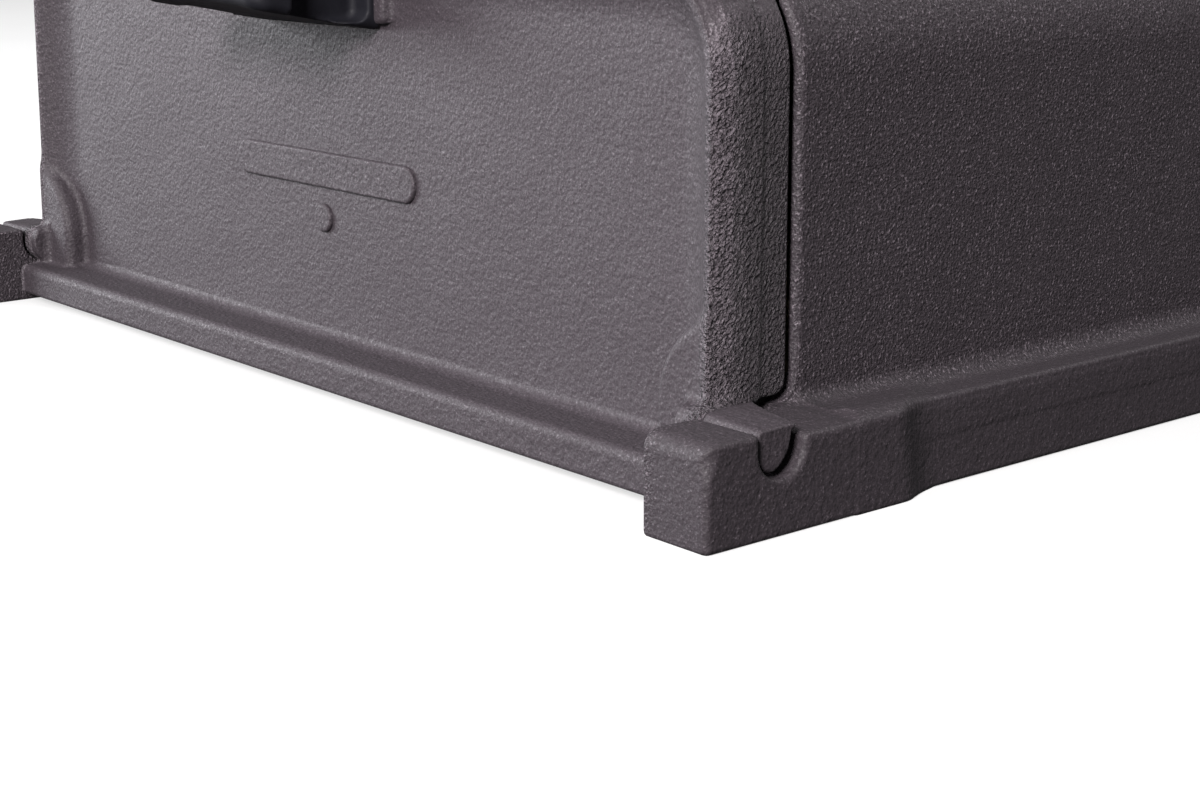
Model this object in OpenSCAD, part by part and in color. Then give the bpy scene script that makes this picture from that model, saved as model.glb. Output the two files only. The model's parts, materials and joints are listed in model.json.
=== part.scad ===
// Grill-top baking oven: an open-bottomed cast hood that stands on its base skirt,
// a pan-shaped drop-down front door whose trunnions lie in open-topped notches,
// and a baking stone on lugs inside the hood.
// X runs across the oven, Y runs from the door to the rear wall, Z is up.

/* [Overall] */
// Width over the two hinge blocks
overall_w = 370; // [350:1:420]
// Depth from the hinge blocks' front faces to the rear of the base skirt
base_len = 379; // [340:1:440]
// Height of the hood and the door
hood_h = 125; // [115:1:150]

/* [Hood] */
// Thickness of the hood's walls and roof
wall_t = 5.5; // [4:0.5:8]
// Outer radius of the hood's long top corners
corner_r = 28; // [20:1:40]
// Distance from the hinge blocks' front faces back to the hood's front edge
hood_setback = 46.3; // [45.5:0.1:50]
// Height of the underside of the hood's walls
wall_foot_z = 9.3; // [6:0.1:12]
// Thickness of the thinner lip round the hood's front opening
lip_t = 2.8; // [2:0.1:3.6]
// How far back the thinner lip runs
lip_len = 8; // [4:0.5:12]

/* [Base skirt] */
// Height of the skirt's outer lip
skirt_h = 21.8; // [20:0.1:24]
// How far the skirt is set back from the hinge blocks' outer faces
skirt_recess = 3.6; // [2:0.1:6]
// Thickness of the skirt and of the flange that joins it to the hood
skirt_t = 6; // [5:0.5:8]
// Depth of the shallow gutter between the lip and the hood
gutter_d = 1.8; // [1:0.1:3]
// Radius where the hood's walls run into the base
foot_fillet = 5; // [3:0.5:7]

/* [Hinge blocks] */
// Width of each hinge block
block_w = 20.2; // [18:0.1:24]
// Length of each hinge block along the side
block_len = 64.5; // [60:0.5:80]
// Height of a hinge block in front of its notch
block_front_h = 24; // [23:0.1:26]
// Height of a hinge block behind its notch
block_h = 21.8; // [21:0.1:23]
// Radius of the notch that the trunnion lies in
notch_r = 7.2; // [7:0.1:7.6]
// Distance of the pivot behind the blocks' front faces
pivot_back = 22.2; // [21:0.1:24]
// Height of the pivot
pivot_z = 19.9; // [19.6:0.1:20.4]

/* [Door] */
// Gap between the door's sides and the hinge blocks
door_side_gap = 0.6; // [0.4:0.1:1.5]
// Front face of the door's raised rim, behind the blocks' front faces
rim_front = 21; // [20:0.5:23]
// Front face of the recessed panel
panel_front = 28; // [26:0.5:30]
// Rear edge of the door's side walls
door_back = 44.3; // [42:0.1:44.5]
// Thickness of the rim's wall
rim_t = 4; // [3:0.5:5]
// Thickness of the panel and of the sill
panel_t = 5; // [4:0.5:6]
// Underside of the door's side walls
rim_foot_z = 24.5; // [24.2:0.1:26]
// Front face of the sill's apron
sill_front = 12.3; // [12:0.1:14]
// Top of the sill
sill_z = 12.8; // [12:0.1:13.5]
// Bottom edge of the sill's apron
apron_z = 3.3; // [3:0.1:4.5]
// Width of the foot in each lower corner of the door
foot_w = 17; // [14:1:20]
// Height of the foot's inner edge
foot_shoulder_z = 29; // [26:0.5:32]
// Height at which the foot has run out into the rim
foot_top_z = 44; // [41:0.5:50]

/* [Trunnions] */
// Width of the U-shaped trunnion
trunnion_w = 10.4; // [9:0.1:10.6]
// Height of the trunnion's flat top above the pivot
trunnion_flat = 3.9; // [3:0.1:4]

/* [Handle] */
// Width of the handle
handle_w = 60; // [50:1:90]
// How far the handle reaches out in front of the hinge blocks
handle_tip = 11; // [5:1:14]
// Height of the handle's underside at the door
handle_root_z = 98.6; // [96:0.1:102]
// Height of the handle's underside at its tip
handle_tip_z = 105.5; // [103:0.5:108]
// Height of the handle's top
handle_top_z = 117; // [114:1:119]
// Distance between the two handle screws
screw_pitch = 36; // [30:1:44]
// Radius of a handle screw's shank
screw_r = 2.9; // [2.5:0.1:3]

/* [Baking stone] */
// Width and depth of the baking stone
stone_size = 300; // [280:1:300]
// Thickness of the baking stone
stone_t = 16; // [12:1:20]
// Height of the lugs that the stone lies on
lug_top_z = 14.3; // [13:0.1:16]

/* [Hidden] */
$fn = 64;
front_y = handle_tip / 2 - base_len / 2;
rear_y = front_y + base_len;
block_in = overall_w / 2 - block_w;
skirt_d = block_w - skirt_recess;
wall_in = block_in - wall_t;
hood_front = front_y + hood_setback;
hood_rear = rear_y - skirt_d;
hood_len = hood_rear - hood_front;
gutter_z = skirt_h - gutter_d;
block_end = front_y + block_len;
pivot_y = front_y + pivot_back;
door_half = block_in - door_side_gap;
sill_half = block_in - 1;
rim_in = door_half - rim_t;
sill_fillet = 4;
sill_edge_r = 2.4;
panel_foot_z = sill_z + sill_fillet;
rim_len = door_back - rim_front;
pin_gap = 0.5;
pin_end = overall_w / 2 - pin_gap;
screw_z = (handle_root_z + handle_top_z) / 2;
lug_len = 40;
lug_reach = 13;
eps = 0.01;
iron = "#4a4547";
grip_black = "#2b2a2c";
steel = "#9a9a9c";
stone_buff = "#c9b48f";

// An upright outline with a round left and right top corner, from z0 to z1
module arch(half, z0, z1, r) {
    translate([-half, z0])
        square([2 * half, z1 - r - z0]);
    translate([-half + r, z0])
        square([2 * (half - r), z1 - z0]);
    for (side = [-1, 1])
        translate([side * (half - r), z1 - r])
            circle(r);
}

// Stands an X-Z outline up and runs it from y0 back over len
module run_back(y0, len) {
    translate([0, y0 + len, 0])
        rotate([90, 0, 0])
            linear_extrude(len)
                children();
}

// Stands a Y-Z outline up and runs it across from x0 over len
module run_across(x0, len) {
    translate([x0, 0, 0])
        rotate([90, 0, 90])
            linear_extrude(len)
                children();
}

// The concave corner of a fillet: a square of side r less a quarter circle
module fillet_2d(r) {
    difference() {
        square(r);
        translate([r, r])
            circle(r);
    }
}

// Section of the base skirt: d runs out from the hood's wall, z is up
module skirt_section() {
    lip_w = skirt_recess;
    polygon([
        [0, gutter_z - skirt_t], [skirt_d - skirt_t, gutter_z - skirt_t],
        [skirt_d - skirt_t, 0], [skirt_d, 0], [skirt_d, skirt_h],
        [skirt_d - lip_w + 1, skirt_h], [skirt_d - lip_w, gutter_z], [0, gutter_z]
    ]);
    translate([0, gutter_z])
        fillet_2d(foot_fillet);
}

// Side outline of a hinge block, with its open-topped notch
module block_side() {
    nose_r = 2.5;
    difference() {
        union() {
            translate([front_y, 0])
                square([block_len, block_h]);
            translate([front_y, 0])
                square([pivot_back, block_front_h - nose_r]);
            translate([front_y + nose_r, 0])
                square([pivot_back - nose_r, block_front_h]);
            translate([front_y + nose_r, block_front_h - nose_r])
                circle(nose_r);
        }
        translate([pivot_y, pivot_z])
            circle(notch_r);
        translate([pivot_y - notch_r, pivot_z])
            square([2 * notch_r, notch_r]);
    }
}

// Plan outline of the right hinge block, running out into the skirt at its rear
module block_plan() {
    polygon([
        [block_in, front_y], [overall_w / 2, front_y],
        [overall_w / 2, block_end - 3], [overall_w / 2 - skirt_recess, block_end],
        [block_in, block_end]
    ]);
}

module hinge_block() {
    intersection() {
        run_across(block_in, block_w)
            block_side();
        linear_extrude(block_front_h)
            block_plan();
    }
    run_back(hood_front, block_end - hood_front)
        translate([block_in, block_h])
            fillet_2d(foot_fillet);
}

// Straight run of the skirt beside the hood, and its round rear corner
module side_rail() {
    run_back(block_end, hood_rear - block_end)
        translate([block_in, 0])
            skirt_section();
    translate([block_in, hood_rear, 0])
        rotate_extrude(angle = 90)
            skirt_section();
}

// Section of the door's sill: apron, ledge and the foot of the panel
module sill_section() {
    apron_back = sill_front + panel_t;
    difference() {
        union() {
            translate([sill_front, apron_z])
                square([panel_t, sill_z - apron_z]);
            translate([sill_front, sill_z - panel_t])
                square([panel_front + panel_t - sill_front, panel_t]);
            translate([panel_front, sill_z - panel_t])
                square([panel_t, panel_t + sill_fillet]);
            translate([panel_front, sill_z])
                mirror([1, 0])
                    fillet_2d(sill_fillet);
        }
        translate([sill_front, sill_z])
            mirror([0, 1])
                fillet_2d(sill_edge_r);
    }
}

// Front outline of the right foot: a corner block that sweeps up into the rim
module foot_outline() {
    foot_in = sill_half - foot_w;
    translate([foot_in, panel_foot_z])
        square([foot_w, rim_foot_z - panel_foot_z]);
    polygon([
        [foot_in, panel_foot_z], [rim_in, panel_foot_z], [rim_in, foot_top_z],
        [rim_in - 1.2, foot_top_z - 4], [rim_in - 5, foot_top_z - 8],
        [foot_in + 3, foot_shoulder_z + 4], [foot_in + 0.8, foot_shoulder_z + 1.5],
        [foot_in, foot_shoulder_z]
    ]);
}

// A U-shaped bar with a flat top, and a full round collar where it leaves the door
module trunnion() {
    collar_len = 6;
    translate([0, pivot_y, pivot_z]) {
        run_across(sill_half, pin_end - sill_half) {
            circle(trunnion_w / 2);
            translate([-trunnion_w / 2, 0])
                square([trunnion_w, trunnion_flat]);
        }
        run_across(sill_half, collar_len)
            intersection() {
                circle(notch_r - 0.3);
                translate([-notch_r, -notch_r])
                    square([2 * notch_r, notch_r + trunnion_flat]);
            }
    }
}

// Side outline of the handle, thinner at its tip
module handle_side() {
    tip_y = front_y - handle_tip;
    tip_r = 4;
    root_y = front_y + panel_front;
    difference() {
        polygon([
            [root_y, handle_root_z], [root_y, handle_top_z],
            [tip_y, handle_top_z - 1], [tip_y, handle_tip_z]
        ]);
        translate([tip_y, handle_top_z - 1])
            mirror([0, 1])
                fillet_2d(tip_r);
    }
}

// Places its children at the two handle screws, pointing back along Y
module at_screws(y) {
    for (side = [-1, 1])
        translate([side * screw_pitch / 2, front_y + y, screw_z])
            rotate([-90, 0, 0])
                children();
}

module hood_shell() {
    lip_in = block_in - lip_t;
    color(iron)
        difference() {
            run_back(hood_front, hood_len)
                arch(block_in, wall_foot_z, hood_h, corner_r);
            run_back(hood_front - 1, hood_len + 2)
                arch(wall_in, wall_foot_z - 1, hood_h - wall_t, corner_r - wall_t);
            run_back(hood_front - 1, lip_len + 1)
                arch(lip_in, skirt_h + foot_fillet, hood_h - lip_t, corner_r - lip_t);
        }
}

module hood_rear_wall() {
    color(iron)
        run_back(hood_rear - wall_t, wall_t)
            arch(wall_in, wall_foot_z, hood_h - wall_t, corner_r - wall_t);
}

module right_hinge_block() {
    color(iron)
        hinge_block();
}

module left_hinge_block() {
    color(iron)
        mirror([1, 0, 0])
            hinge_block();
}

module right_base_rail() {
    color(iron)
        side_rail();
}

module left_base_rail() {
    color(iron)
        mirror([1, 0, 0])
            side_rail();
}

module rear_base_rail() {
    color(iron)
        run_across(-block_in, 2 * block_in)
            translate([hood_rear, 0])
                skirt_section();
}

module front_crossbar() {
    bar_d = 6;
    color(iron)
        translate([-block_in, hood_front, 0])
            cube([2 * block_in, bar_d, wall_foot_z]);
}

module stone_lugs() {
    lug_pitch = (stone_size - lug_len) / 2 - 10;
    stone_mid = (hood_front + hood_rear - wall_t) / 2;
    color(iron)
        for (side = [0, 1], step = [-1, 0, 1])
            mirror([side, 0, 0])
                translate([wall_in - lug_reach, stone_mid + step * lug_pitch - lug_len / 2, wall_foot_z])
                    cube([lug_reach, lug_len, lug_top_z - wall_foot_z]);
}

module baking_stone() {
    edge_r = 12;
    stone_mid = (hood_front + hood_rear - wall_t) / 2;
    straight = stone_size - 2 * edge_r;
    color(stone_buff)
        translate([0, stone_mid, lug_top_z])
            linear_extrude(stone_t) {
                square([stone_size, straight], center = true);
                square([straight, stone_size], center = true);
                for (x = [-1, 1], y = [-1, 1])
                    translate([x * straight / 2, y * straight / 2])
                        circle(edge_r);
            }
}

module door_panel() {
    color(iron)
        difference() {
            run_back(front_y + panel_front, panel_t)
                arch(rim_in, panel_foot_z, hood_h - rim_t, corner_r - rim_t);
            at_screws(panel_front - 1)
                cylinder(r = screw_r + 0.4, h = panel_t + 2);
        }
}

module door_rim() {
    heel_r = 5;
    color(iron)
        difference() {
            run_back(front_y + rim_front, rim_len)
                difference() {
                    arch(door_half, rim_foot_z, hood_h, corner_r);
                    arch(rim_in, rim_foot_z - 1, hood_h - rim_t, corner_r - rim_t);
                }
            run_across(-overall_w / 2, overall_w)
                translate([front_y + door_back + eps, rim_foot_z - eps])
                    mirror([1, 0])
                        fillet_2d(heel_r);
        }
}

module door_sill() {
    color(iron)
        run_across(-sill_half, 2 * sill_half)
            translate([front_y, 0])
                sill_section();
}

module door_feet() {
    color(iron)
        for (side = [0, 1])
            mirror([side, 0, 0])
                run_back(front_y + rim_front, panel_front - rim_front)
                    foot_outline();
}

module right_trunnion() {
    color(iron)
        trunnion();
}

module left_trunnion() {
    color(iron)
        mirror([1, 0, 0])
            trunnion();
}

// A blank raised bar over a small raised disc
module door_badge() {
    bar_w = 78;
    bar_h = 10;
    bar_z = 60;
    disc_r = 4;
    disc_z = 46.5;
    relief = 1.2;
    color(iron)
        run_back(front_y + panel_front - relief, relief) {
            translate([-bar_w / 2, bar_z - bar_h / 2])
                square([bar_w, bar_h]);
            for (side = [-1, 1])
                translate([side * bar_w / 2, bar_z])
                    circle(bar_h / 2);
            translate([0, disc_z])
                circle(disc_r);
        }
}

module door_handle() {
    thread_len = 14;
    color(grip_black)
        difference() {
            run_across(-handle_w / 2, handle_w)
                handle_side();
            at_screws(panel_front - thread_len)
                cylinder(r = screw_r + 0.05, h = thread_len + 1);
        }
}

module handle_screws() {
    grip_len = 12;
    washer_t = 1.6;
    head_h = 4;
    head_across = 10;
    color(steel)
        at_screws(panel_front - grip_len) {
            cylinder(r = screw_r, h = grip_len + panel_t + washer_t);
            translate([0, 0, grip_len + panel_t + washer_t])
                cylinder(d = head_across / cos(30), h = head_h, $fn = 6);
        }
}

module handle_washers() {
    washer_t = 1.6;
    washer_r = 6.3;
    color(steel)
        at_screws(panel_front + panel_t)
            difference() {
                cylinder(r = washer_r, h = washer_t);
                translate([0, 0, -1])
                    cylinder(r = screw_r + 0.2, h = washer_t + 2);
            }
}

hood_shell();
hood_rear_wall();
right_hinge_block();
left_hinge_block();
right_base_rail();
left_base_rail();
rear_base_rail();
front_crossbar();
stone_lugs();
baking_stone();
door_panel();
door_rim();
door_sill();
door_feet();
right_trunnion();
left_trunnion();
door_badge();
door_handle();
handle_screws();
handle_washers();
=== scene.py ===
"""Grill-top baking oven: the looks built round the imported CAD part.

Lengths inside the shape functions are millimetres in the row frame; meshes are written in metres.
"""
import json
import math

import bpy
import numpy as np
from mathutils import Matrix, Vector


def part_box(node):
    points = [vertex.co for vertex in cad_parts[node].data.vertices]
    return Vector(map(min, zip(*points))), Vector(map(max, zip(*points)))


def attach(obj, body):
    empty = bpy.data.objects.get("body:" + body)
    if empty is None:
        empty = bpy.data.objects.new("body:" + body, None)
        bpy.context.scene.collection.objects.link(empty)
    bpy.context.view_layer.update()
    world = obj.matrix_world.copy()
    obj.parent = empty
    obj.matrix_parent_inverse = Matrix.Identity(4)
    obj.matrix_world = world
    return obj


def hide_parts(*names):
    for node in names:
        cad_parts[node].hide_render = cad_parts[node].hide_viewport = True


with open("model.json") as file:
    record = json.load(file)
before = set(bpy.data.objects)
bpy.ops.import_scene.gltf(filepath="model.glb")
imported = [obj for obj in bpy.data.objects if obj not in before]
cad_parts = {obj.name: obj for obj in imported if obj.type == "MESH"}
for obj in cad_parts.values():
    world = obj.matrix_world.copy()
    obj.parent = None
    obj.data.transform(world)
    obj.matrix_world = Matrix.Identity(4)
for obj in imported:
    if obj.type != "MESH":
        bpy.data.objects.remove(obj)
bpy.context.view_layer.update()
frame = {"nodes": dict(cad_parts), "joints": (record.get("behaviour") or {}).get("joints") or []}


# ---------------------------------------------------------------- sizes taken from the CAD part
def face(node, axis, side):
    """One face of a CAD node's box, to a tenth of a millimetre; side is 0 for low and 1 for high."""
    return round(1000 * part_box(node)[side][axis], 1)


X, Y, Z = 0, 1, 2
LOW, HIGH = 0, 1
FRONT = face("right_hinge_block", Y, LOW)
BLOCK_HALF = face("right_hinge_block", X, HIGH)
HOOD_HALF, HOOD_TOP = face("hood_shell", X, HIGH), face("hood_shell", Z, HIGH)
HOOD_FRONT, HOOD_REAR = face("hood_shell", Y, LOW), face("hood_shell", Y, HIGH)
HOOD_FOOT = face("hood_shell", Z, LOW)
DOOR_HALF = face("door_rim", X, HIGH)
DOOR_DEPTH = face("door_rim", Y, HIGH) - FRONT
PANEL_FACE, PANEL_BACK = face("door_panel", Y, LOW) - FRONT, face("door_panel", Y, HIGH) - FRONT
SILL_FRONT = face("door_sill", Y, LOW) - FRONT
BADGE_FACE, BADGE_HALF = face("door_badge", Y, LOW) - FRONT, face("door_badge", X, HIGH)
HANDLE_TIP, HANDLE_HALF = face("door_handle", Y, LOW) - FRONT, face("door_handle", X, HIGH)
STONE_HALF, STONE_TOP = face("baking_stone", X, HIGH), face("baking_stone", Z, HIGH)
STONE_MID = round((face("baking_stone", Y, LOW) + face("baking_stone", Y, HIGH)) / 2, 1)
LUG_TOP = face("stone_lugs", Z, HIGH)
PIVOT_Y, PIVOT_Z = (round(1000 * v, 1) for v in frame["joints"][0]["pos_m"][1:])

# ---------------------------------------------------------------- sizes that only the looks need
CORNER_R = 28.0                             # round top corners of the hood and door
HOOD_WALL, LIP_WALL, LIP_DEPTH = 5.5, 2.8, 8.0
SKIRT_IN, SKIRT_OUT, SKIRT_TOP = 10.6, 16.6, 20.0
NOTCH_R, SWING_R = 7.1, 6.8                 # the notch's round, and the trunnion's sweep in it
HEEL_Y, HEEL_Z = FRONT + 40.3, 28.5         # centre of the round at the foot of the door's side wall
DOOR_WALL, RIM_FACE, SILL_TOP = 4.4, 21.2, 12.8
PIN_ROOT, PIN_END = 158.0, 183.8            # a trunnion's inner and outer ends


# ---------------------------------------------------------------- signed distances
def blend_union(a, b, r):
    """Union with a fillet of radius r where the two surfaces meet."""
    return np.maximum(r, np.minimum(a, b)) - np.hypot(np.maximum(r - a, 0), np.maximum(r - b, 0))


def blend_common(a, b, r):
    """Intersection whose convex edge has radius r."""
    return np.minimum(-r, np.maximum(a, b)) + np.hypot(np.maximum(r + a, 0), np.maximum(r + b, 0))


def blend_cut(a, b, r):
    """a less b, with the edges of the cut rounded to r."""
    return blend_common(a, -b, r)


def ease(t):
    t = np.clip(t, 0, 1)
    return t * t * (3 - 2 * t)


def slab(v, low, high):
    return np.maximum(low - v, v - high)


def bar(u, v, u0, u1, v0, v1, r):
    """A rectangle in (u, v) with corners of radius r."""
    a = np.abs(u - (u0 + u1) / 2) - (u1 - u0) / 2 + r
    b = np.abs(v - (v0 + v1) / 2) - (v1 - v0) / 2 + r
    return np.hypot(np.maximum(a, 0), np.maximum(b, 0)) + np.minimum(np.maximum(a, b), 0) - r


def arch(x, z, half, top, r):
    """Open-bottomed outline with round top corners."""
    a, b = np.abs(x) - (half - r), z - (top - r)
    return np.hypot(np.maximum(a, 0), np.maximum(b, 0)) + np.minimum(np.maximum(a, b), 0) - r


def hood(x, y, z):
    """The hood casting: shell, base skirt, hinge blocks, crossbar and stone lugs."""
    h = np.abs(x)
    outer = blend_common(arch(x, z, HOOD_HALF, HOOD_TOP, CORNER_R), y - HOOD_REAR, 8.0)
    outer = blend_common(outer, HOOD_FRONT - y, 2.0)
    inner = arch(x, z, HOOD_HALF - HOOD_WALL, HOOD_TOP - HOOD_WALL, CORNER_R - HOOD_WALL)
    inner = blend_common(inner, y - (HOOD_REAR - HOOD_WALL), 5.0)
    lip = arch(x, z, HOOD_HALF - LIP_WALL, HOOD_TOP - LIP_WALL, CORNER_R - LIP_WALL)
    lip = np.maximum(lip, y - (HOOD_FRONT + LIP_DEPTH))
    lip = blend_common(lip, 26.8 - z, 2.0)
    shell = blend_common(outer, -blend_union(inner, lip, 1.0), 0.6)
    shell = blend_common(shell, HOOD_FOOT - z, 1.0)

    # base skirt, drawn by its distance d from the hood's walls
    corner = 8.0
    a, b = h - (HOOD_HALF - corner), y - (HOOD_REAR - corner)
    d = np.hypot(np.maximum(a, 0), np.maximum(b, 0)) + np.minimum(np.maximum(a, b), 0) - corner
    fence = bar(d, z, SKIRT_IN, SKIRT_OUT, 0.0, SKIRT_TOP, 1.2)
    bead = bar(d, z, SKIRT_IN + 2.0, SKIRT_OUT, 12.0, SKIRT_TOP + 1.8, 1.3)
    gutter = bar(d, z, -3.0, 13.0, 14.0, SKIRT_TOP, 0.8)
    skirt = blend_union(blend_union(fence, bead, 0.8), gutter, 1.6)
    skirt = np.maximum(skirt, FRONT + 50.0 - y)

    # hinge block, its top falling inwards behind the notch
    behind = ease((y - PIVOT_Y) / 14.0 + 0.5)
    lean = 0.035 - 0.135 * ease((y - FRONT - 42.0) / 14.0)
    top = 23.7 * (1 - behind) + (21.7 + lean * (BLOCK_HALF - h)) * behind
    block = blend_common(h - BLOCK_HALF, z - top, 1.4)
    block = blend_common(block, FRONT - y, 1.7 + 2.5 * ease((z - 15.0) / 6.0))
    block = blend_common(block, -z, 1.0)
    block = blend_common(block, HOOD_HALF - h, 0.8)
    rear = ((h - BLOCK_HALF) * 4.6 + (y - (FRONT + 64.5 - 0.16 * z)) * 3.6) / 5.84
    block = blend_common(block, rear, 1.4)
    notch = np.hypot(y - PIVOT_Y, np.minimum(z - PIVOT_Z, 0)) - NOTCH_R
    block = blend_cut(block, notch, 0.5 + 1.0 * ease((y - PIVOT_Y + 5.0) / 8.0))

    body = blend_union(skirt, block, 5.0)
    body = blend_union(shell, body, 5.0)
    crossbar = np.maximum(bar(y, z, HOOD_FRONT, HOOD_FRONT + 6.0, 0.0, 12.0, 1.2), h - 163.0)
    body = blend_union(body, crossbar, 1.5)

    # webs in the front corners, and the lip that curls under the foot of the door's side wall
    web = np.maximum(bar(h, z, 138.0, 163.0, 2.0, 25.0, 2.0), slab(y, HOOD_FRONT + 0.4, HOOD_FRONT + 4.5))
    body = blend_union(body, web, 1.0)
    q = np.hypot(np.maximum(y - HEEL_Y, 0), np.maximum(HEEL_Z - z, 0))
    curl = np.maximum(np.abs(q - 7.5) - 1.3, z - 27.0)
    near = np.maximum(np.maximum(curl, slab(h, 159.6, HOOD_HALF)), HEEL_Y - 0.9 - y)
    far = np.maximum(np.maximum(curl, slab(h, 164.2, HOOD_HALF)), HEEL_Y - 6.8 - y)
    body = blend_union(body, np.minimum(near, far), 0.6)

    # six lugs that carry the stone
    lug_y = np.minimum(np.abs(y - STONE_MID), np.abs(np.abs(y - STONE_MID) - 120.0))
    lug = blend_common(bar(lug_y, z, -20.0, 20.0, HOOD_FOOT, LUG_TOP, 1.2), 146.3 - h, 1.2)
    lug = np.maximum(lug, h - 162.0)
    return blend_union(body, lug, 1.5)


def door(x, y, z):
    """The door casting: recessed panel, raised rim, deep side walls, sill, feet and trunnions."""
    h, w = np.abs(x), y - FRONT
    e = -arch(x, z, DOOR_HALF, HOOD_TOP, CORNER_R)        # depth inside the outer outline
    wall = blend_common(0.9 * np.maximum((34.0 - w) / 12.0, 0) ** 2 - e, 21.9 - w, 3.2)
    wall = blend_common(wall, e - DOOR_WALL, 0.6)
    wall = blend_common(wall, w - DOOR_DEPTH, 1.2)
    lip = blend_common(RIM_FACE - w, (RIM_FACE - w + 0.85 * (e - 3.6)) / 1.312, 2.4)
    lip = blend_common(lip, 1.9 - e, 0.7)
    wall = blend_union(wall, np.maximum(lip, w - 31.0), 0.6)
    heel = np.hypot(np.maximum(y - HEEL_Y, 0), np.maximum(HEEL_Z - z, 0)) - 4.0
    heel = np.where((y > HEEL_Y) & (z < HEEL_Z), heel, np.maximum(w - DOOR_DEPTH, 24.5 - z))
    wall = blend_common(wall, heel, 0.8)

    panel = np.maximum(slab(w, PANEL_FACE, PANEL_BACK), 1.5 - e)
    panel = np.maximum(panel, 8.0 - z)
    body = blend_union(wall, panel, 4.0)

    apron = bar(w, z, SILL_FRONT, 17.3, 3.3, SILL_TOP, 0.9)
    ledge = bar(w, z, 12.6, PANEL_BACK, 7.8, SILL_TOP, 1.0)
    sill = blend_union(apron, ledge, 1.0)
    sill = blend_common(sill, np.maximum(SILL_FRONT - w, z - SILL_TOP), 0.0)
    nose = np.hypot(np.minimum(w - 14.7, 0), np.maximum(z - 10.4, 0)) - 2.4
    sill = np.maximum(sill, nose)
    sill = blend_common(sill, h - 163.0, 1.2)
    body = blend_union(body, sill, 4.0)

    # corner feet, with a sloped top edge
    slope = (z - (39.0 + 0.735 * (h - 151.5))) / 1.241
    foot = blend_common(144.8 - h, slope, 9.0)
    foot = blend_common(foot, 21.0 - w, 3.0)
    foot = np.maximum(foot, np.maximum(w - 30.0, 9.0 - z))
    foot = blend_common(foot, h - 162.2, 0.7)
    body = blend_union(body, foot, 2.0)

    # trunnions: a round-bottomed bar, its tilted top web, and the root that joins the door
    tilt = z - (24.7 + 0.03 * (w - 22.2) - 0.03 * (h - 164.0))
    round_bar = np.hypot(w - 21.2, np.minimum(z - 19.3, 0)) - 5.2
    round_bar = blend_common(round_bar, np.hypot(w - 16.0, z - 23.5) - 10.6, 1.0)
    pin = blend_common(round_bar, tilt, 0.8)
    pin = np.maximum(pin, PIN_ROOT - h)
    web = blend_common((w - 27.4 - 0.22 * (184.3 - h)) / 1.024, 16.4 - w, 0.5)
    web = blend_common(web, np.maximum(22.9 - z, tilt), 0.5)
    web = np.maximum(web, PIN_ROOT - h)
    root = blend_common(bar(w, z, 15.8, 27.6, 13.8, 23.0, 2.5), h - DOOR_HALF, 0.6)
    root = np.maximum(root, PIN_ROOT - h)
    pin = blend_union(blend_union(pin, root, 2.0), web, 0.6)
    pin = blend_common(pin, h - PIN_END, 0.8)
    swing = np.hypot(np.minimum(y - PIVOT_Y, 0), z - PIVOT_Z) - SWING_R
    pin = blend_common(pin, swing, 0.6)
    body = blend_union(body, pin, 3.2)

    # pad behind the handle
    pad = bar(x, z, -34.2, 34.2, 101.5, 118.6, 2.5)
    pad = np.maximum(blend_common(pad, 25.2 - w, 1.6), w - 30.0)
    return blend_union(body, pad, 1.0)


def handle(x, y, z):
    """The pull handle, thinner at its tip, with scooped ends."""
    w, h = y - FRONT, np.abs(x)
    out = PANEL_FACE - w                                  # distance in front of the panel
    reach = np.clip(out / 37.0, 0, 1)
    under = 99.8 + out * 0.17 + 1.7 * reach * (1 - (h / HANDLE_HALF) ** 2) - z
    body = blend_common(under * 0.985, z - 117.0 + 0.03 * out, 2.6)
    plan = blend_common(h - HANDLE_HALF, HANDLE_TIP - w, 5.5)
    body = blend_common(body, plan, 2.6)
    body = np.maximum(body, w - 27.0)
    scoop = np.hypot(np.maximum(np.abs(w - 12.0) - 8.2, 0), np.maximum(np.abs(z - 109.2) - 3.6, 0)) - 3.2
    scoop = blend_common(scoop, 23.0 - h, 2.0)
    return blend_cut(body, scoop, 0.8)


def stone(x, y, z):
    """The baking stone."""
    plan = bar(x, y - STONE_MID, -STONE_HALF, STONE_HALF, -STONE_HALF, STONE_HALF, 12.0)
    return blend_common(plan, slab(z, LUG_TOP + 0.05, STONE_TOP), 2.2)


def badge(x, y, z):
    """A blank raised bar over a small raised disc."""
    w = y - FRONT
    outline = bar(x, z, -BADGE_HALF, BADGE_HALF, 55.0, 65.0, 4.9)
    disc = np.hypot(x, z - 46.5) - 4.0
    outline = np.minimum(outline, disc)
    return np.maximum(blend_common(outline, BADGE_FACE - w, 0.8), w - 28.6)


# ---------------------------------------------------------------- mesh from a signed distance
def ruler(*spans):
    """Grid lines: each span is (start, end, step)."""
    lines = [np.linspace(a, b, max(2, int(round((b - a) / s)) + 1)) for a, b, s in spans]
    return np.unique(np.concatenate(lines).round(4))


def both_sides(lines):
    return np.unique(np.concatenate((-lines, lines)))


def slope_of(shape, p, step=0.02):
    g = np.empty_like(p)
    for a in range(3):
        q, r = p.copy(), p.copy()
        q[:, a] += step
        r[:, a] -= step
        g[:, a] = (shape(*q.T) - shape(*r.T)) / (2 * step)
    return g


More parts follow.
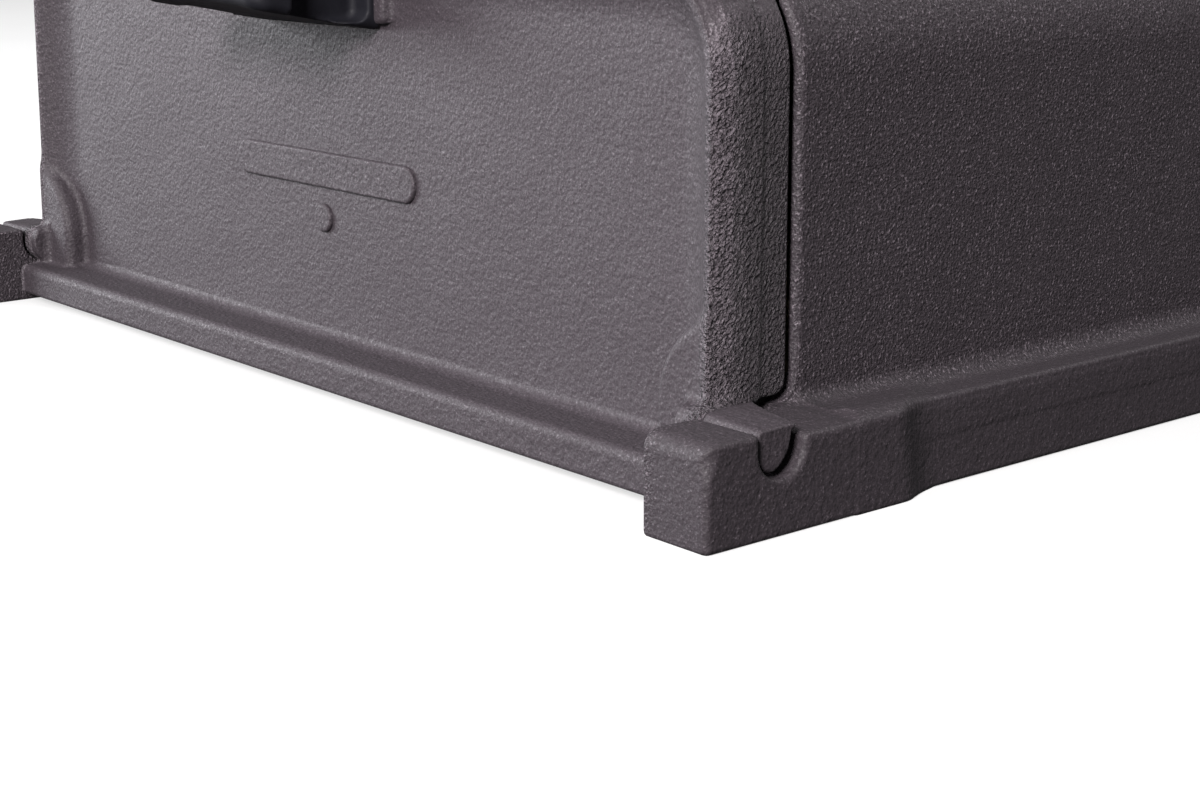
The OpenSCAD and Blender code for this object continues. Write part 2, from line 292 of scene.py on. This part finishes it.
def cast(name, shape, xs, ys, zs):
    """A surface net over the grid, drawn onto the exact surface, with the surface's own normals."""
    axes = (xs, ys, zs)
    field = shape(*np.meshgrid(xs, ys, zs, indexing="ij"))
    inside = field < 0
    cells = tuple(n - 1 for n in field.shape)
    total, count, faces = np.zeros((np.prod(cells), 3)), np.zeros(np.prod(cells)), []
    for a in range(3):
        low, high = [slice(None)] * 3, [slice(None)] * 3
        low[a], high[a] = slice(0, -1), slice(1, None)
        low, high = tuple(low), tuple(high)
        crossing = inside[low] != inside[high]
        index = np.argwhere(crossing)
        f0, f1 = field[low][crossing], field[high][crossing]
        point = np.stack([axes[b][index[:, b]] for b in range(3)], 1)
        point[:, a] += f0 / (f0 - f1) * (axes[a][index[:, a] + 1] - axes[a][index[:, a]])
        b, c = (a + 1) % 3, (a + 2) % 3
        ring = []
        for db, dc in ((0, 0), (1, 0), (1, 1), (0, 1)):
            cell = index.copy()
            cell[:, b] -= db
            cell[:, c] -= dc
            flat = np.ravel_multi_index(cell.T, cells)
            for k in range(3):
                total[:, k] += np.bincount(flat, point[:, k], len(total))
            count += np.bincount(flat, minlength=len(total))
            ring.append(flat)
        quad = np.stack(ring, 1)
        turned = ~inside[low][crossing]
        quad[turned] = quad[turned][:, ::-1]
        faces.append(quad)
    used = np.flatnonzero(count)
    p = total[used] / count[used, None]
    number = np.full(len(total), -1)
    number[used] = np.arange(len(used))
    faces = number[np.concatenate(faces)]
    for _ in range(4):
        g = slope_of(shape, p)
        move = shape(*p.T)[:, None] * g / np.maximum((g * g).sum(1, keepdims=True), 0.2)
        p -= np.clip(move, -1.0, 1.0)
    normal = slope_of(shape, p, 0.05)
    normal /= np.maximum(np.linalg.norm(normal, axis=1, keepdims=True), 1e-9)

    mesh = bpy.data.meshes.new(name)
    mesh.vertices.add(len(p))
    mesh.vertices.foreach_set("co", (p * 0.001).astype(np.float32).ravel())
    mesh.loops.add(faces.size)
    mesh.loops.foreach_set("vertex_index", faces.astype(np.int32).ravel())
    mesh.polygons.add(len(faces))
    mesh.polygons.foreach_set("loop_start", np.arange(0, faces.size, 4, dtype=np.int32))
    mesh.polygons.foreach_set("loop_total", np.full(len(faces), 4, np.int32))
    mesh.update(calc_edges=True)
    mesh.polygons.foreach_set("use_smooth", np.ones(len(faces), bool))
    mesh.normals_split_custom_set_from_vertices(normal.astype(np.float32))
    obj = bpy.data.objects.new(name, mesh)
    bpy.context.scene.collection.objects.link(obj)
    print(name, "triangles", 2 * len(faces))
    return obj


# The grid is close where edges and fillets are, and open across the flats.
fine = 1.0
hood_piece = cast(
    "hood_casting", hood,
    both_sides(ruler((0, 130, 13), (130, 158, 2.6 * fine), (158, 166, 0.9 * fine),
                     (166, 180, 1.4 * fine), (180, 188, 0.7 * fine))),
    ruler((-187, -126, 0.75 * fine), (-126, -112, 1.2 * fine), (-112, 164, 9), (164, 200, 1.6 * fine)),
    ruler((-2, 27, 0.75 * fine), (27, 96, 6), (96, 127, 1.5 * fine)))
door_piece = cast(
    "door_casting", door,
    both_sides(ruler((0, 136, 8), (136, 159, 0.9 * fine), (159, 166, 0.5 * fine), (166, 187, 1.0 * fine))),
    ruler((-173, -163.5, 0.8 * fine), (-163.5, -151, 0.55 * fine), (-151, -138, 1.1 * fine)),
    ruler((1, 47, 0.8 * fine), (47, 95, 5), (95, 118, 0.9 * fine), (118, 127, 0.5 * fine)))
handle_piece = cast(
    "pull_handle", handle,
    both_sides(ruler((0, 22, 2), (22, 32, 0.6))),
    ruler((-197, -187, 0.6), (-187, -158, 0.9), (-158, -154, 0.6)),
    ruler((96, 119, 0.7)))
stone_piece = cast(
    "stone_slab", stone,
    both_sides(ruler((0, 130, 13), (130, 152, 1.2))),
    ruler((-135, -114, 1.2), (-114, 150, 13), (150, 170, 1.2)),
    ruler((12, 32, 0.8)))
badge_piece = cast(
    "raised_badge", badge,
    both_sides(ruler((0, 46, 0.6))),
    ruler((-158.5, -154.5, 0.3)),
    ruler((41, 67, 0.5)))


# ---------------------------------------------------------------- materials
class Shade:
    """A short way to write a node material."""

    def __init__(self, name):
        self.material = bpy.data.materials.new(name)
        self.material.use_nodes = True
        self.tree = self.material.node_tree
        self.shader = next(n for n in self.tree.nodes if n.type == "BSDF_PRINCIPLED")
        self.place = self.add("ShaderNodeTexCoord").outputs["Object"]

    def value(self, name, number):
        self.shader.inputs[name].default_value = number

    def feed(self, name, output):
        self.join(output, self.shader.inputs[name])

    def product(self, *factors):
        total = factors[0]
        for factor in factors[1:]:
            total = self.math("MULTIPLY", total, factor)
        return total

    def add(self, kind, **settings):
        node = self.tree.nodes.new(kind)
        for key, value in settings.items():
            setattr(node, key, value)
        return node

    def join(self, a, b):
        self.tree.links.new(a, b)

    def noise(self, scale, detail=2.0, rough=0.5, place=None):
        node = self.add("ShaderNodeTexNoise")
        node.inputs["Scale"].default_value = scale
        node.inputs["Detail"].default_value = detail
        node.inputs["Roughness"].default_value = rough
        self.join(place or self.place, node.inputs["Vector"])
        return node.outputs["Fac"]

    def cells(self, scale):
        node = self.add("ShaderNodeTexVoronoi", feature="F1")
        node.inputs["Scale"].default_value = scale
        self.join(self.place, node.inputs["Vector"])
        return node.outputs["Distance"]

    def math(self, what, a, b=0.5):
        node = self.add("ShaderNodeMath", operation=what)
        for socket, value in zip(node.inputs, (a, b)):
            if isinstance(value, (int, float)):
                socket.default_value = value
            else:
                self.join(value, socket)
        return node.outputs[0]

    def ramp(self, value, *stops):
        node = self.add("ShaderNodeValToRGB")
        points = node.color_ramp.elements
        while len(points) < len(stops):
            points.new(0.5)
        for point, (at, colour) in zip(points, stops):
            point.position = at
            point.color = (*colour, 1)
        self.join(value, node.inputs["Fac"])
        return node.outputs["Color"]

    def bump(self, height, depth, under=None):
        node = self.add("ShaderNodeBump")
        node.inputs["Strength"].default_value = 1.0
        node.inputs["Distance"].default_value = depth
        self.join(height, node.inputs["Height"])
        if under is not None:
            self.join(under, node.inputs["Normal"])
        return node.outputs["Normal"]

    def wear(self, value, low, high):
        """Spreads a noise's usual range, 0.3 to 0.7, over low to high."""
        return self.between(value, 0.3, 0.7, low, high)

    def between(self, value, start, end, low=0.0, high=1.0):
        """low before start and high after end."""
        node = self.add("ShaderNodeMapRange")
        node.inputs["From Min"].default_value = start
        node.inputs["From Max"].default_value = end
        node.inputs["To Min"].default_value = low
        node.inputs["To Max"].default_value = high
        self.join(value, node.inputs["Value"])
        return node.outputs["Result"]


def grey(value, plum=0.0):
    """A grey with a slight plum cast."""
    return (value * (1 + plum), value * (1 - plum), value * (1 + 0.6 * plum))


def iron(name, is_door):
    """Matte black sand-cast iron: soft pebbling, a fine grain, whitish specks and slow unevenness.

    The side walls are pitted, the door's more deeply than the hood's. Painted glints sparkle on the side
    walls and on the door's shoulder. Painted sheen lightens the door's side wall and crest. The pits carry
    painted shade in their hollows.
    """
    s = Shade(name)
    slow = s.noise(24, 3.0, 0.55)
    pebble = s.noise(620, 1.5)
    grain = s.noise(1250, 1.2)
    speck = s.noise(2300, 1.0)
    # spots where painted glints are scattered
    glint_dots = s.between(s.noise(1300, 0.5), 0.58, 0.70)
    spot = s.add("ShaderNodeSeparateXYZ")
    s.join(s.place, spot.inputs[0])
    across = s.math("ABSOLUTE", spot.outputs["X"])
    if is_door:
        slant = s.add("ShaderNodeMapping", vector_type="TEXTURE")
        slant.inputs["Rotation"].default_value = (math.radians(-35), 0, 0)
        slant.inputs["Scale"].default_value = (1.0, 1.0, 1.35)
        s.join(s.place, slant.inputs["Vector"])
        pits = s.noise(1200, 2.5, 0.55, slant.outputs["Vector"])
        pit_depth, darkness = 0.0048, 1.0
        side = s.product(s.between(across, 0.1600, 0.1630), s.between(across, 0.1665, 0.1650))
        side = s.product(side, s.between(spot.outputs["Z"], 0.122, 0.080, 0.15, 1.0))
        crest = s.product(s.between(spot.outputs["Y"], -0.1520, -0.1590),
                          s.between(across, 0.1592, 0.1615), s.between(across, 0.1665, 0.1645))
        # painted sheen: the door's side wall is lifted a little lighter and its crest more, and painted
        # glints are scattered over the crest
        painted_sheen = s.math("ADD", s.product(side, 0.03), s.product(crest, 0.13))
        painted_sheen = s.math("ADD", painted_sheen, s.product(crest, glint_dots, 0.24))
    else:
        pits = s.noise(1450, 1.5)
        pit_depth, darkness = 0.0005, 0.86
        side = s.product(s.between(across, 0.1560, 0.1640), s.between(across, 0.1700, 0.1660))
        # painted glints: light dots scattered over the hood's side walls
        painted_sheen = s.product(side, glint_dots, 0.20)
    mix = s.math("ADD", s.product(grain, 0.4), s.product(speck, 0.6))
    # painted shade and highlight: on the side walls the pits' hollows are painted darker and their rises
    # lighter
    pit_shading = s.product(s.math("SUBTRACT", pits, 0.5), s.product(side, 0.35))
    mix = s.math("ADD", s.math("ADD", mix, painted_sheen), pit_shading)
    tone = s.ramp(mix, (0.36, grey(0.024 * darkness, 0.11)), (0.50, grey(0.034 * darkness, 0.11)),
                  (0.60, grey(0.043 * darkness, 0.10)), (0.76, grey(0.12, 0.08)))
    s.feed("Base Color", tone)
    s.feed("Roughness", s.wear(mix, 0.74, 0.52))
    s.value("Specular IOR Level", 0.36)
    normal = s.bump(slow, 0.0012)
    normal = s.bump(pebble, 0.00034, normal)
    normal = s.bump(s.product(pits, side), pit_depth, normal)
    s.feed("Normal", s.bump(grain, 0.00018, normal))
    return s.material


def enamel():
    """The handle's near-black enamel, rough and a little uneven."""
    s = Shade("handle_enamel")
    slow, grain = s.noise(60), s.noise(900)
    s.feed("Base Color", s.ramp(slow, (0.3, (0.005, 0.005, 0.008)), (0.7, (0.010, 0.010, 0.014))))
    s.feed("Roughness", s.wear(grain, 0.60, 0.74))
    s.value("Specular IOR Level", 0.22)
    s.feed("Normal", s.bump(grain, 0.00004, s.bump(slow, 0.0008)))
    return s.material


def ceramic():
    """Sandy, pitted baking stone."""
    s = Shade("baking_stone")
    slow, grain = s.noise(18, 4.0, 0.6), s.noise(700, 3.0, 0.6)
    pits = s.ramp(s.cells(260), (0.10, (0, 0, 0)), (0.26, (1, 1, 1)))
    mix = s.math("ADD", s.product(slow, 0.6), s.product(grain, 0.4))
    tone = s.ramp(mix, (0.3, (0.46, 0.35, 0.22)), (0.55, (0.60, 0.47, 0.32)), (0.75, (0.70, 0.58, 0.42)))
    s.feed("Base Color", tone)
    s.feed("Roughness", s.wear(grain, 0.78, 0.95))
    s.value("Specular IOR Level", 0.3)
    s.feed("Normal", s.bump(pits, 0.0004, s.bump(grain, 0.00025)))
    return s.material


def steel():
    """Drawn steel with fine lengthwise scratches."""
    s = Shade("fastener_steel")
    stretched = s.add("ShaderNodeMapping")
    stretched.inputs["Scale"].default_value = (1, 1, 12)
    s.join(s.place, stretched.inputs["Vector"])
    scratch = s.noise(900, 3.0, 0.6, stretched.outputs["Vector"])
    s.feed("Base Color", s.ramp(s.noise(200), (0.3, grey(0.42)), (0.7, grey(0.60))))
    s.value("Metallic", 1.0)
    s.feed("Roughness", s.wear(scratch, 0.28, 0.48))
    s.feed("Normal", s.bump(scratch, 0.00003))
    return s.material


hood_iron, door_iron = iron("hood_iron", False), iron("door_iron", True)
enamel_black, stone_clay, screw_steel = enamel(), ceramic(), steel()


def fit(obj, material, body, slot, *nodes):
    obj.data.materials.append(material)
    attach(obj, body)
    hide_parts(*nodes)


fit(hood_piece, hood_iron, "hood", "hood_iron",
    "hood_shell", "hood_rear_wall", "right_hinge_block", "left_hinge_block",
    "right_base_rail", "left_base_rail", "rear_base_rail", "front_crossbar", "stone_lugs")
fit(door_piece, door_iron, "door", "door_iron",
    "door_panel", "door_rim", "door_sill", "door_feet", "right_trunnion", "left_trunnion")
fit(badge_piece, door_iron, "door", "door_iron", "door_badge")
fit(handle_piece, enamel_black, "door", "handle_enamel", "door_handle")
fit(stone_piece, stone_clay, "hood", "stone", "baking_stone")

for name in ("handle_screws", "handle_washers"):
    node = frame["nodes"][name]
    node.data.materials.clear()
    node.data.materials.append(screw_steel)
    edge = node.modifiers.new("edge", "BEVEL")
    edge.width = 0.0004
    edge.segments = 3
    edge.limit_method = "ANGLE"

# ---------------------------------------------------------------- floor, light and camera
bpy.ops.mesh.primitive_plane_add(size=60, location=(0, 0, 0))
floor = bpy.context.object
floor.name = "floor"
paper = Shade("floor")
paper.feed("Base Color", paper.ramp(paper.noise(3), (0.4, grey(0.30)), (0.6, grey(0.32))))
paper.value("Emission Color", (1, 1, 1, 1))
paper.value("Emission Strength", 0.62)
paper.value("Roughness", 0.9)
paper.value("Specular IOR Level", 0.1)
floor.data.materials.append(paper.material)
# the floor shows pale, but throws no light up
floor.visible_diffuse = False
floor.visible_glossy = False

world = bpy.data.worlds.new("studio")
bpy.context.scene.world = world
world.use_nodes = True
sky = next(n for n in world.node_tree.nodes if n.type == "BACKGROUND")
sky.inputs["Color"].default_value = (1, 1, 1, 1)
sky.inputs["Strength"].default_value = 0.11


def softbox(name, place, aim, size, power, colour=(1, 1, 1)):
    data = bpy.data.lights.new(name, "AREA")
    data.shape = "RECTANGLE"
    data.size, data.size_y = size
    data.energy = power
    data.color = colour
    lamp = bpy.data.objects.new(name, data)
    lamp.location = place
    lamp.rotation_mode = "QUATERNION"
    lamp.rotation_quaternion = (Vector(aim) - Vector(place)).to_track_quat("-Z", "Y")
    bpy.context.scene.collection.objects.link(lamp)


softbox("key", (0.80, -1.48, 0.82), (0, -0.1, 0.06), (0.42, 0.42), 58, (1.0, 0.965, 0.965))
softbox("left", (-1.42, -1.02, 0.36), (0, -0.1, 0.06), (0.8, 0.6), 32, (0.96, 0.97, 1.0))
softbox("back", (0.45, 1.05, 1.25), (0.1, -0.1, 0.06), (0.9, 0.5), 8)
softbox("rear", (-0.60, 1.70, 0.50), (0, 0.1, 0.05), (0.9, 0.7), 34)
softbox("top", (-0.30, -1.10, 1.45), (0, -0.1, 0.06), (1.0, 1.0), 12)

bpy.context.scene.view_settings.view_transform = "Standard"

# The camera stands in front and to the right, and looks down by dip.
camera = bpy.data.objects.new("camera", bpy.data.cameras.new("camera"))
camera.location = (0.4925, -0.4740, 0.1390)
turn, dip = math.radians(-49.67), math.radians(11.27)
look = Vector((math.sin(turn) * math.cos(dip), math.cos(turn) * math.cos(dip), -math.sin(dip)))
camera.rotation_mode = "QUATERNION"
camera.rotation_quaternion = look.to_track_quat("-Z", "Y")
camera.data.sensor_width = 36
camera.data.lens = 63.5
camera.data.shift_y = -0.0833
camera.data.clip_start, camera.data.clip_end = 0.01, 50
bpy.context.scene.collection.objects.link(camera)
bpy.context.scene.camera = camera
